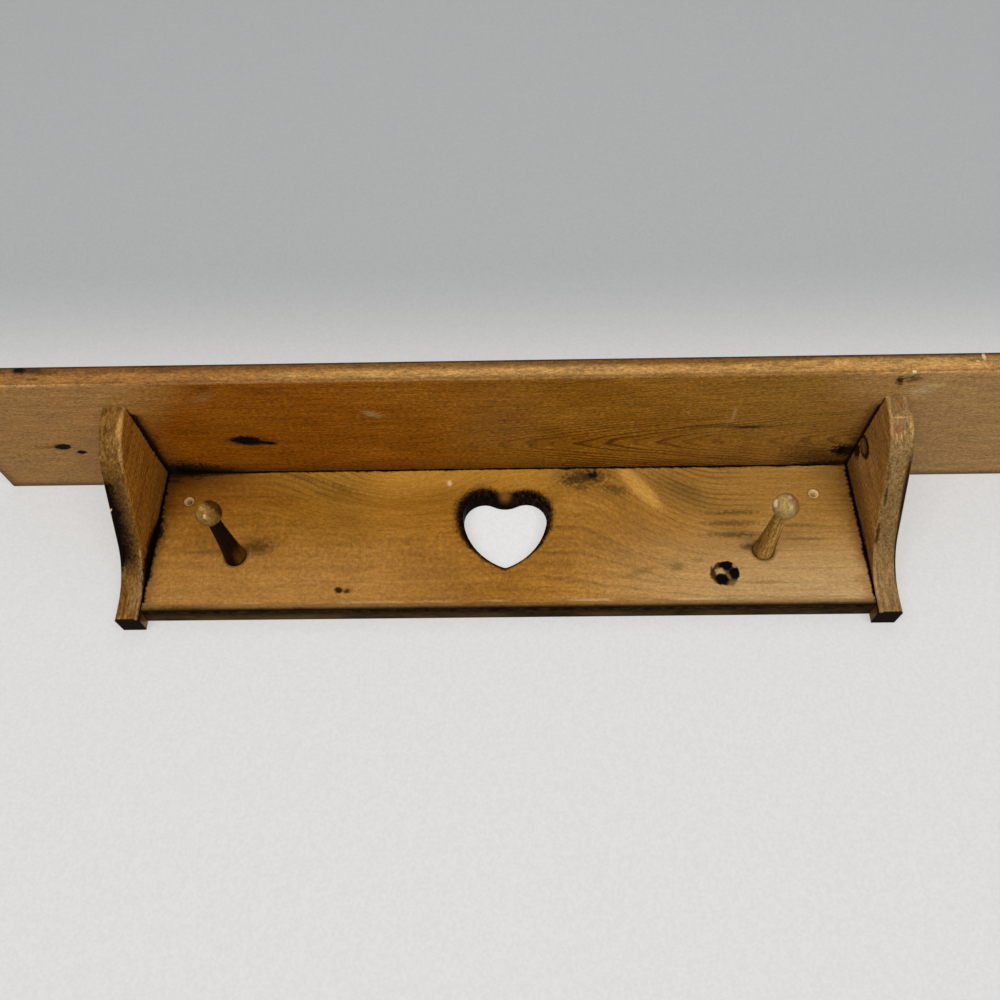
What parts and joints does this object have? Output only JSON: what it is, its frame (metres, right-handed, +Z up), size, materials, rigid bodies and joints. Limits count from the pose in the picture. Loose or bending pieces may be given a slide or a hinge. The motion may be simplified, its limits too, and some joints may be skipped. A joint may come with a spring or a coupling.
{
  "type": "wall shelf with pegs",
  "caption": "Stained pine wall shelf: a long board on sawn side brackets over a heart-pierced back board with turned hanging pegs.",
  "frame": {"origin": "on the wall plane, at the middle of the shelf's length, level with the shelf's underside", "axes": "+X along the shelf to the right as seen from the room, +Y into the wall, +Z up"},
  "size_m": [0.902, 0.15, 0.1605],
  "materials": {
    "shelf_pine": "stained and satin varnished, dark in the seams, worn pale along the front edge",
    "back_pine": "golden stain under satin varnish, near-black stain round the heart and in the seams",
    "bracket_pine": "stained and satin varnished, dark in the hollow, scuffed at the nose",
    "peg_wood": "stained, glossy varnish on the head",
    "nail_steel": "dull steel, set below the surface"
  },
  "bodies": {
    "root": {"shelf_board": "shelf_pine", "back_board": "back_pine", "left_bracket": "bracket_pine", "right_bracket": "bracket_pine", "left_peg": "peg_wood", "right_peg": "peg_wood", "shelf_bracket_nails": "nail_steel", "shelf_back_nails": "nail_steel", "bracket_back_nails": "nail_steel"}
  },
  "joints": []
}
